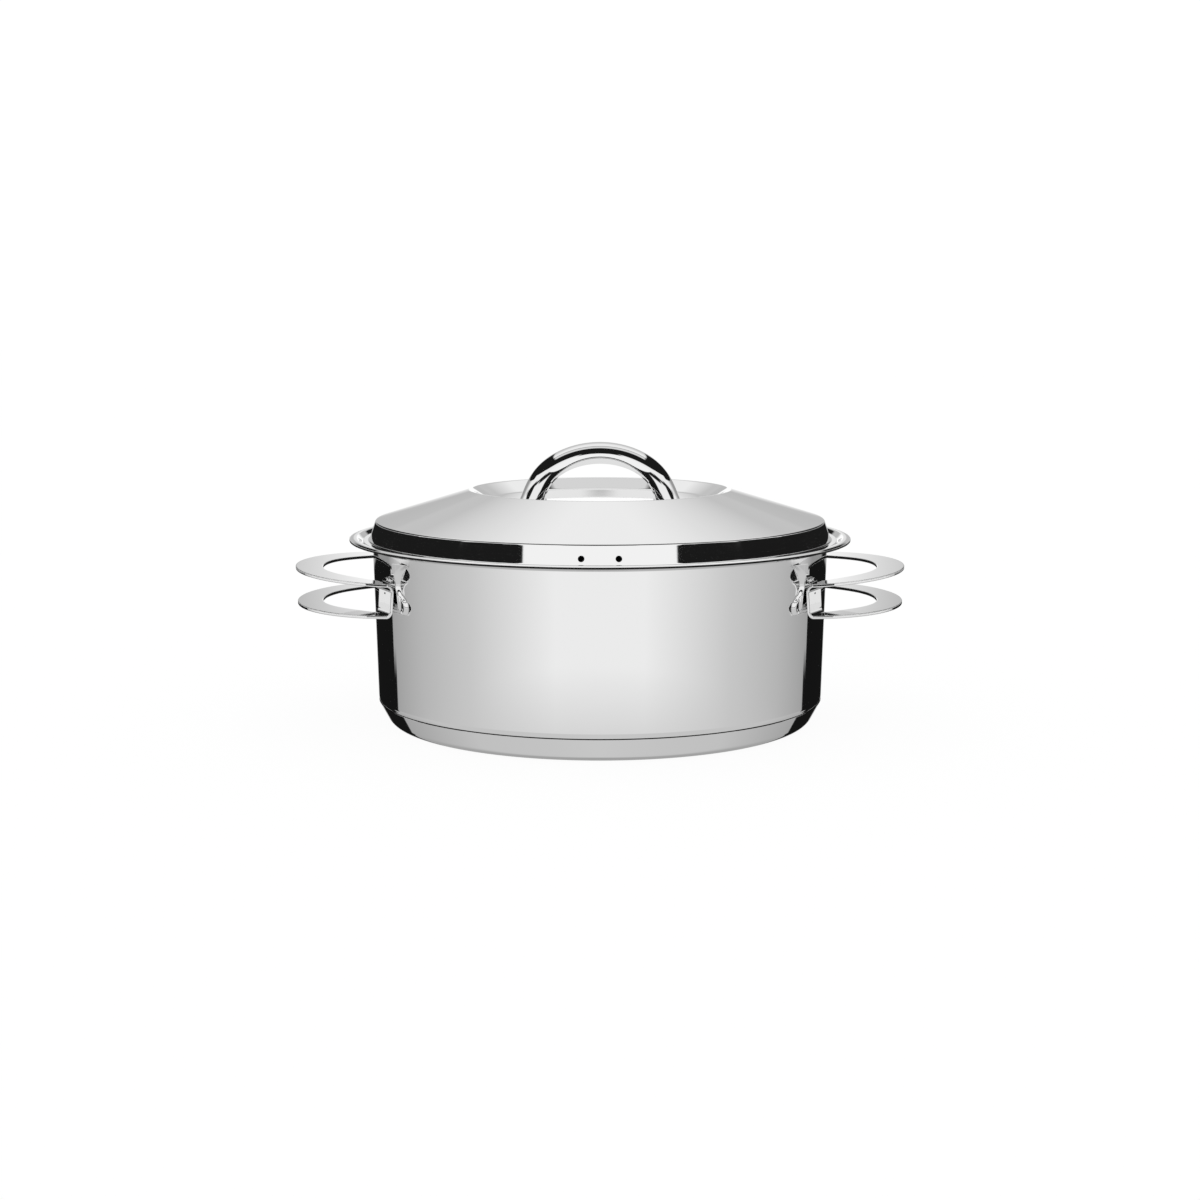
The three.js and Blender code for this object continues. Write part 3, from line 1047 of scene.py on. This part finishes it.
@dataclass
class Lid:
    """Pressed lid with dish, conical top, vented skirt and flange, and the arched grip."""

    sheet: float = 0.8
    flange_width: float = 3.1
    flange_bend: float = 0.9
    skirt_height: float = 10.0
    skirt_lean: float = math.radians(18.8)
    shoulder_bend: float = 1.2
    slope: float = math.radians(17.8)
    ridge_radius: float = 68.7
    dish_depth: float = 6.0
    dish_wall_run: float = 9.5
    dish_bend: float = 3.0
    vent_diameter: float = 3.2
    vent_spacing: float = 18.0
    vent_rise: float = 3.5
    vent_facets: int = 32
    drill_reach: float = 4.0  # to both sides of the skirt
    grip_crown: float = 10.8
    grip_foot: float = 11.8
    grip_flare: float = 2.7
    flare_fall: int = 6  # power by which the flare dies out above the feet
    grip_soffit: tuple[float, float] = (23.2, 22.5)  # at the feet and at the crown
    grip_crease: tuple[float, float] = (0.05, 0.31)  # at the feet and at the crown
    crease_climb: int = 4  # power by which the crease climbs towards the crown
    grip_stations: int = 96
    crown_steps: int = 36
    under_steps: int = 8  # on the soffit, and on the chamfer at each side of it

    def __post_init__(self) -> None:
        """Take the overall sizes from the frame."""
        low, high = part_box("lid_shell")
        self.flange_radius = high.x / MM
        self.flange_top = low.z / MM + self.sheet
        self.skirt_radius = self.flange_radius - self.flange_width
        self.shoulder_height = self.flange_top + self.skirt_height
        self.shoulder_radius = self.skirt_radius - self.skirt_height * math.tan(self.skirt_lean)
        rise = (self.shoulder_radius - self.ridge_radius) * math.tan(self.slope)
        self.ridge_height = self.shoulder_height + rise
        self.dish_floor = self.ridge_height - self.dish_depth

    def shell(self) -> bpy.types.Object:
        """The pressed sheet, with its two steam vents cut through.

        Returns:
            The new object.
        """
        top = [
            Vector((0, self.dish_floor)),
            Vector((self.ridge_radius - self.dish_wall_run, self.dish_floor)),
            Vector((self.ridge_radius, self.ridge_height)),
            Vector((self.shoulder_radius, self.shoulder_height)),
            Vector((self.skirt_radius, self.flange_top)),
            Vector((self.flange_radius, self.flange_top)),
        ]
        bends = [self.dish_bend, self.dish_bend, self.shoulder_bend, self.flange_bend]
        sheet = turned("lid_sheet", sheet_section(top, bends, -self.sheet))
        for place in (-self.vent_spacing / 2, self.vent_spacing / 2):
            drill = self.vent_drill(place)
            cut = sheet.modifiers.new("vent", "BOOLEAN")
            cut.operation = "DIFFERENCE"
            cut.solver = "EXACT"
            cut.object = drill
            bpy.context.view_layer.update()
            graph = bpy.context.evaluated_depsgraph_get()
            vented = bpy.data.meshes.new_from_object(sheet.evaluated_get(graph))
            sheet.modifiers.clear()
            sheet.data = vented
            bpy.data.objects.remove(drill)
        sheet.data.shade_smooth()
        sheet.data.set_sharp_from_angle(angle=SHARP)
        return sheet

    def vent_drill(self, place: float) -> bpy.types.Object:
        """Round drill for one vent, square to the skirt.

        Args:
            place: Of the vent, along X.

        Returns:
            The drill, to be removed after the cut.
        """
        height = self.flange_top + self.vent_rise
        radius = self.skirt_radius - self.vent_rise * math.tan(self.skirt_lean)
        azimuth = math.asin(place / radius)
        outwards = Vector((math.sin(azimuth), -math.cos(azimuth), 0)) * math.cos(self.skirt_lean)
        outwards.z = math.sin(self.skirt_lean)
        along = outwards.cross(Vector((0, 0, 1))).normalized()
        upwards = along.cross(outwards)
        centre = Vector((place, -math.sqrt(radius**2 - place**2), height))
        angles = [2 * math.pi * facet / self.vent_facets for facet in range(self.vent_facets)]
        rings = [
            [
                centre
                + outwards * depth
                + (along * math.cos(angle) + upwards * math.sin(angle)) * self.vent_diameter / 2
                for angle in angles
            ]
            for depth in (-self.drill_reach, self.drill_reach)
        ]
        return lofted("vent_drill", rings, endless=False)

    def grip_section(self, upwards: float, half_depth: float) -> list[Vector]:
        """Section of the grip, round on its crown and flat on its soffit.

        Args:
            upwards: Share of the way from the feet to the top of the arch.
            half_depth: Half of the grip's depth from front to back.

        Returns:
            Points round the section, as depth and share of the way from soffit to crown.
        """
        low, high = self.grip_crease
        crease = low + (high - low) * upwards**self.crease_climb
        crown = []
        for step in range(self.crown_steps + 1):
            angle = math.pi * step / self.crown_steps
            share = crease + (1 - crease) * math.sin(angle)
            crown.append(Vector((half_depth * math.cos(angle), share)))
        at_foot, at_crown = self.grip_soffit
        soffit = Vector(((at_foot + (at_crown - at_foot) * upwards) / 2, 0))
        shares = [step / self.under_steps for step in range(self.under_steps + 1)]
        under = [crown[-1].lerp(-soffit, share) for share in shares[1:-1]]
        under += [soffit * (2 * share - 1) for share in shares]
        under += [soffit.lerp(crown[0], share) for share in shares[1:-1]]
        return crown + under

    def grip(self) -> bpy.types.Object:
        """Arched bar with a crowned top, a crease at its widest and a chamfered underside.

        Returns:
            The new object.
        """
        low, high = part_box("lid_grip")
        half_span, half_depth = high.x / MM - self.grip_flare, high.y / MM
        foot, rise = low.z / MM, (high.z - low.z) / MM
        outer = Vector((half_span, rise))
        inner = Vector((half_span - self.grip_foot, rise - self.grip_crown))
        rings = []
        for station in range(self.grip_stations + 1):
            angle = math.pi * station / self.grip_stations
            upwards = math.sin(angle)
            spread = self.grip_flare * (1 - upwards) ** self.flare_fall
            ring = []
            for depth, share in self.grip_section(upwards, half_depth):
                arch = inner.lerp(outer, share)
                reach = (arch.x + math.sqrt(share) * spread) * math.cos(angle)
                ring.append(Vector((-reach, depth, foot + arch.y * upwards)))
            rings.append(ring)
        return lofted("lid_arch_grip", rings, endless=False)

    def build(self) -> None:
        """Make and dress the lid and its grip."""
        dress(self.shell(), SHEET, "lid_shell", "lid")
        dress(self.grip(), FITTING, "lid_grip", "lid")


# Studio


class Axis(Enum):
    """Angles, in degrees, that say which way a mirror reflection goes."""

    AZIMUTH = "from the camera's side, the same to the left and the right"
    ELEVATION = "over the horizon"
    ACROSS = "from straight up, to the left or the right"
    ALONG = "from straight up, to the back"
    SLOPE = "elevation and a third of the azimuth, for an edge that falls to the back"


AZIMUTH, ELEVATION, ACROSS, ALONG, SLOPE = Axis


@dataclass(frozen=True)
class Card:
    """A white card or black flag round the table, as the directions that it fills.

    Its light goes from one level to another along an axis, and its edges are soft.
    """

    limits: dict[Axis, tuple[float, float]]
    light: tuple[float, float]
    fade: tuple[Axis, float, float] = (AZIMUTH, 0.0, 180.0)
    softness: float = 2.0


WHITE = (1.0, 1.0)
FLAG = (0.008, 0.008)
CRISP = 0.2  # softness of an edge that stays sharp in the mirror
OPEN = 199.0  # past every angle, where a card has no edge
FAR_TABLE = (-OPEN, -7.6)
SIDE_TABLE = (-OPEN, -7.3)
NEAR_TABLE = (-OPEN, -14.7)
CEILING = (-OPEN, 50.5)
BACK_PANEL = (-OPEN, 36.0)

CARDS = (
    # white table, which falls off to the sides
    Card({ELEVATION: FAR_TABLE}, WHITE, softness=CRISP),
    Card({AZIMUTH: (22, OPEN), ELEVATION: FAR_TABLE}, (1.0, 0.68), (AZIMUTH, 22, 68), CRISP),
    Card({AZIMUTH: (68, OPEN), ELEVATION: FAR_TABLE}, (0.68, 0.55), (AZIMUTH, 68, 101), CRISP),
    Card({AZIMUTH: (101, OPEN), ELEVATION: SIDE_TABLE}, (0.55, 0.398), (AZIMUTH, 101, 130), CRISP),
    # table close to the pot, in its shade
    Card({ELEVATION: NEAR_TABLE}, (0.68, 0.63), (AZIMUTH, 0, 94), 3),
    Card({AZIMUTH: (94, OPEN), ELEVATION: NEAR_TABLE}, (0.63, 0.416), (AZIMUTH, 94, 142), 3),
    # far edge of the table, which only the edges of the handles mirror
    Card({AZIMUTH: (36, 112), ELEVATION: (-8.8, -7.6)}, WHITE, softness=CRISP),
    Card({AZIMUTH: (110, 131), ELEVATION: (-8.8, -7.3)}, (1.0, 0.62), (AZIMUTH, 110, 129), CRISP),
    # low cards at the sides, and the dark gap between them
    Card(
        {AZIMUTH: (36, 167), ELEVATION: (-5.6, 9), SLOPE: (-OPEN, 50.6)},
        (1.02, 0.9),
        (AZIMUTH, 36, 130),
        0.3,
    ),
    Card({AZIMUTH: (30, 75), ELEVATION: (4, 20)}, WHITE),
    Card({AZIMUTH: (60, 75), ELEVATION: (18, OPEN), SLOPE: (-OPEN, 43.5)}, WHITE),
    # high cards at the sides, with a narrow dark joint below them
    Card({AZIMUTH: (8, 27), ELEVATION: (30, 47)}, WHITE),
    Card({AZIMUTH: (25, 52), SLOPE: (46, 64)}, WHITE),
    Card({AZIMUTH: (50, 76), SLOPE: (48.8, 64)}, WHITE),
    Card({AZIMUTH: (74, 106), SLOPE: (51.6, 65)}, WHITE, softness=0.6),
    Card({AZIMUTH: (104, 167), SLOPE: (53, 60.5)}, (1.0, 0.35), (AZIMUTH, 112, 134), 0.6),
    # flag under the camera
    Card({AZIMUTH: (-OPEN, 36), ELEVATION: (-8.5, 6)}, FLAG, softness=1),
    # ceiling panels to the front and the back, with a dark joint in the back one
    Card({ACROSS: CEILING, ALONG: (-83.6, -44)}, (1.06, 1.06), softness=0.6),
    Card({ACROSS: BACK_PANEL, ALONG: (12, 28)}, (0.78, 0.78)),
    Card({AZIMUTH: (165, OPEN), ALONG: (31, 87)}, (0.51, 0.613), (ELEVATION, 5, 25)),
    Card(
        {ACROSS: BACK_PANEL, ALONG: (31, 87), ELEVATION: (18, OPEN)},
        (0.613, 0.855),
        (ELEVATION, 25, 36),
    ),
    Card(
        {ACROSS: BACK_PANEL, ALONG: (31, 87), ELEVATION: (36, OPEN)},
        (0.855, 0.99),
        (ELEVATION, 36, 41),
    ),
    # white behind the pot, and flags at the back corners
    Card({AZIMUTH: (166, OPEN), ELEVATION: (-16, 9)}, (0.53, 1.08), (AZIMUTH, 171.5, 175), 1),
    Card({AZIMUTH: (130, 167), ELEVATION: (-16, -7.6)}, FLAG, softness=CRISP),
    Card({AZIMUTH: (127.3, 167), ELEVATION: (-16, -11.2)}, FLAG, softness=0.8),
    Card({AZIMUTH: (135, 167), ELEVATION: (-22, -14)}, FLAG, softness=0.8),
    Card({AZIMUTH: (142.3, 166), ELEVATION: (-31, -20)}, FLAG, softness=0.6),
)


@dataclass
class Studio:
    """White table and backdrop, the cards that the polished steel mirrors, and the camera."""

    camera_place: tuple[float, float, float] = (0.0, -1102.4, 225.6)
    camera_tilt: float = 0.146  # radians below the horizon
    camera_lens: float = 62.23
    camera_sensor: float = 36.0
    table_radius: float = 8000.0
    table_facets: int = 96
    room_light: float = 1.06
    dark: float = 0.012
    slope_share: float = 1 / 3  # of the azimuth
    cards: tuple[Card, ...] = CARDS

    def table(self) -> None:
        """Plain white table that shows the pot's shadow, and that its mirror skips."""
        facets = self.table_facets
        points = [Vector((0, 0, 0))]
        for facet in range(facets):
            angle = 2 * math.pi * facet / facets
            points.append(Vector((math.cos(angle), math.sin(angle), 0)) * self.table_radius)
        faces = [(0, 1 + facet, 1 + (facet + 1) % facets) for facet in range(facets)]
        table = mesh_piece("table_top", points, faces)
        table.data.materials.append(PAPER.material())
        table.visible_glossy = False

    def angles(self, tree: bpy.types.NodeTree) -> dict[Axis, bpy.types.Node]:
        """Nodes that give the angles of the direction that a ray goes.

        Args:
            tree: Tree of the world.

        Returns:
            A node for each axis.
        """
        direction = add_node(tree, "TexCoord", {}).outputs["Generated"]
        parts = add_node(tree, "SeparateXYZ", {0: direction}).outputs
        width = add_node(tree, "Math", {0: parts["X"]}, operation="ABSOLUTE")
        front = add_node(tree, "Math", {0: parts["Y"], 1: -1.0}, operation="MULTIPLY")
        turns = {
            AZIMUTH: ("ARCTAN2", width, front),
            ELEVATION: ("ARCSINE", parts["Z"]),
            ACROSS: ("ARCTAN2", width, parts["Z"]),
            ALONG: ("ARCTAN2", parts["Y"], parts["Z"]),
        }
        angles = {}
        for axis, (operation, *values) in turns.items():
            turn = add_node(tree, "Math", dict(enumerate(values)), operation=operation)
            angles[axis] = add_node(tree, "Math", {0: turn}, operation="DEGREES")
        inputs = {0: angles[AZIMUTH], 1: self.slope_share, 2: angles[ELEVATION]}
        angles[SLOPE] = add_node(tree, "Math", inputs, operation="MULTIPLY_ADD")
        return angles

    def world(self) -> None:
        """White room, in which mirror reflections also see the cards and flags round the table."""
        world = bpy.data.worlds.new("white_room")
        bpy.context.scene.world = world
        world.use_nodes = True
        world.cycles.sampling_method = "NONE"
        tree = world.node_tree
        tree.nodes.clear()
        angles = self.angles(tree)
        seen = self.dark
        for card in self.cards:
            soft = card.softness / 2
            share = 1.0
            for axis, (start, end) in card.limits.items():
                for edge, low, high in ((start, 0.0, 1.0), (end, 1.0, 0.0)):
                    inputs = {0: angles[axis], 1: edge - soft, 2: edge + soft, 3: low, 4: high}
                    inputs = {0: share, 1: add_node(tree, "MapRange", inputs)}
                    share = add_node(tree, "Math", inputs, operation="MULTIPLY")
            axis, start, end = card.fade
            inputs = {0: angles[axis], 1: start, 2: end, 3: card.light[0], 4: card.light[1]}
            light = add_node(tree, "MapRange", inputs)
            seen = add_node(tree, "MapRange", {0: share, 1: 0.0, 2: 1.0, 3: seen, 4: light})
        mirrored = add_node(tree, "LightPath", {}).outputs["Is Glossy Ray"]
        inputs = {0: mirrored, 1: 0.0, 2: 1.0, 3: self.room_light, 4: seen}
        colour = add_node(tree, "MapRange", inputs)
        shader = add_node(tree, "Background", {"Color": colour, "Strength": 1.0})
        add_node(tree, "OutputWorld", {"Surface": shader})

    def camera(self) -> None:
        """Camera at the place and tilt that the photograph was taken from."""
        data = bpy.data.cameras.new("camera")
        data.lens = self.camera_lens
        data.sensor_width = self.camera_sensor
        camera = bpy.data.objects.new("camera", data)
        camera.location = Vector(self.camera_place) * MM
        camera.rotation_euler = (math.pi / 2 - self.camera_tilt, 0, 0)
        bpy.context.scene.collection.objects.link(camera)
        bpy.context.scene.camera = camera

    def build(self) -> None:
        """Set the table, the light and the camera."""
        bpy.context.scene.view_settings.view_transform = "Standard"
        self.table()
        self.world()
        self.camera()
        log.info("studio: %d cards round the table", len(self.cards))


def main() -> None:
    """Build the pot, its handles, its lid and the studio."""
    logging.basicConfig(level=logging.INFO, format="%(message)s")
    bowl = Bowl()
    bowl.build()
    for side in Side:
        SideHandle(side, bowl).build()
    Lid().build()
    Studio().build()


if __name__ == "__main__":
    main()
